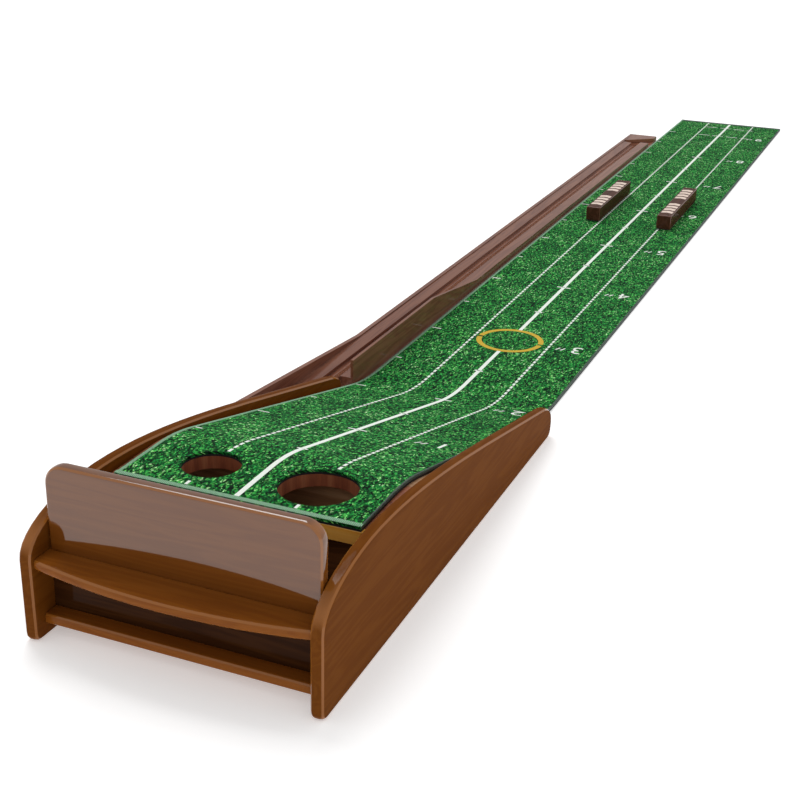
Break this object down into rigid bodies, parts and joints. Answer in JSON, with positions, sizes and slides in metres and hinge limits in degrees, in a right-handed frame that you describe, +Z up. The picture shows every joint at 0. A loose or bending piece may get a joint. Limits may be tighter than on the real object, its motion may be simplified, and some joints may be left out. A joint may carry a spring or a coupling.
{
  "type": "practice putting mat",
  "caption": "Indoor putting green: a lacquered wooden box with a ramp and cup holes, a long printed turf mat, a sectional ball-return track and loose gate bars.",
  "frame": {"origin": "bottom centre of the whole object's bounding box, on the floor", "axes": "+Y along the mat from the wooden box to the far end, +X to the right of someone who looks that way from behind the box, +Z up"},
  "size_m": [0.3842, 3.073, 0.187],
  "materials": {
    "walnut_lacquer": "dark walnut-stained wood under thick gloss lacquer",
    "rail_lacquer": "orange-brown lacquered wood",
    "bare_wood": "unlacquered plywood and softwood",
    "dowel_wood": "plain beech dowel",
    "mat_rubber": "black matt rubber backing",
    "mat_turf": "short printed velvet pile, mixed greens with white lines",
    "gate_felt": "thin black felt"
  },
  "bodies": {
    "box": {"side_panel_left": "walnut_lacquer", "side_panel_right": "walnut_lacquer", "backstop_board": "walnut_lacquer", "front_shelf": "walnut_lacquer", "bottom_board": "walnut_lacquer", "compartment_back": "walnut_lacquer", "return_chute": "walnut_lacquer", "chute_fence": "bare_wood", "plateau_board": "bare_wood", "ramp_board": "bare_wood", "deck_front_rail": "rail_lacquer", "ramp_cleat_left": "bare_wood", "ramp_cleat_right": "bare_wood", "mat_backing": "mat_rubber", "mat_pile": "mat_turf", "shelf_dowel_left_1": "dowel_wood", "shelf_dowel_left_2": "dowel_wood", "shelf_dowel_right_1": "dowel_wood", "shelf_dowel_right_2": "dowel_wood", "backstop_dowel_left_1": "dowel_wood", "backstop_dowel_right_1": "dowel_wood", "base_dowel_left_1": "dowel_wood", "base_dowel_left_2": "dowel_wood", "base_dowel_right_1": "dowel_wood", "base_dowel_right_2": "dowel_wood", "fence_dowel_left_1": "dowel_wood", "fence_dowel_left_2": "dowel_wood", "fence_dowel_right_1": "dowel_wood", "fence_dowel_right_2": "dowel_wood", "deck_dowel_left_1": "dowel_wood", "deck_dowel_left_2": "dowel_wood", "deck_dowel_right_1": "dowel_wood", "deck_dowel_right_2": "dowel_wood"},
    "track_near": {"return_track_near": "walnut_lacquer", "track_peg_front": "dowel_wood", "track_peg_rear": "dowel_wood", "track_pin_1_left": "dowel_wood", "track_pin_1_right": "dowel_wood"},
    "track_middle": {"return_track_middle": "walnut_lacquer", "track_pin_2_left": "dowel_wood", "track_pin_2_right": "dowel_wood"},
    "track_far": {"return_track_far": "walnut_lacquer", "track_end_block": "walnut_lacquer"},
    "gate_left": {"gate_block_left": "walnut_lacquer", "gate_pad_left": "gate_felt"},
    "gate_right": {"gate_block_right": "walnut_lacquer", "gate_pad_right": "gate_felt"}
  },
  "joints": [
    {"name": "track_pull_off", "type": "slide", "parent": "box", "child": "track_near", "axis": [-1, 0, 0], "range_m": [0, 0.04]},
    {"name": "track_middle_unplug", "type": "slide", "parent": "track_near", "child": "track_middle", "axis": [0, 1, 0], "range_m": [0, 0.04]},
    {"name": "track_far_unplug", "type": "slide", "parent": "track_middle", "child": "track_far", "axis": [0, 1, 0], "range_m": [0, 0.04]},
    {"name": "gate_left_slide", "type": "slide", "parent": "box", "child": "gate_left", "axis": [0, 1, 0], "range_m": [-0.9, 0.9]},
    {"name": "gate_right_slide", "type": "slide", "parent": "box", "child": "gate_right", "axis": [0, 1, 0], "range_m": [-0.9, 0.9]}
  ]
}
